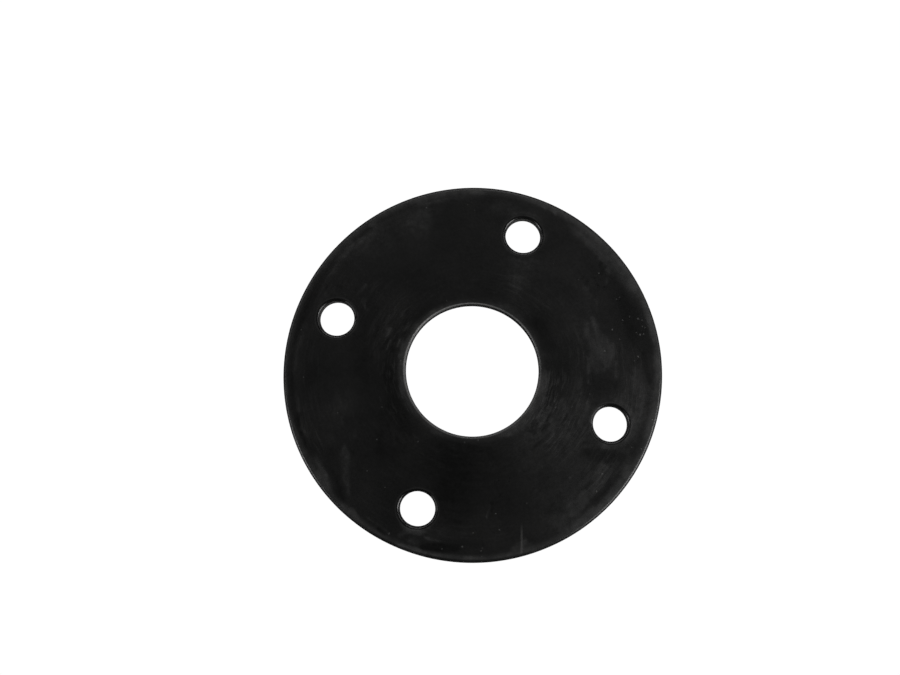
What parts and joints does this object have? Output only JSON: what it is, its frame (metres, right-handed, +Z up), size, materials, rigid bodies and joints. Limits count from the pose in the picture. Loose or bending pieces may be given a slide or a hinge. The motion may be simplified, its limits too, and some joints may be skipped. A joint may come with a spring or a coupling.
{
  "type": "flange gasket",
  "caption": "Flat round full-face rubber gasket with a central bore and a square pattern of bolt holes near the rim, for sealing a bolted pipe flange.",
  "frame": {"origin": "centre of the bore on the underside of the gasket", "axes": "+Z up through the thickness along the bore axis; the four bolt holes straddle +X and +Y at 45 degrees"},
  "size_m": [0.127, 0.127, 0.004],
  "materials": {
    "rubber": "satin"
  },
  "bodies": {
    "root": {"gasket": "rubber"}
  },
  "joints": []
}
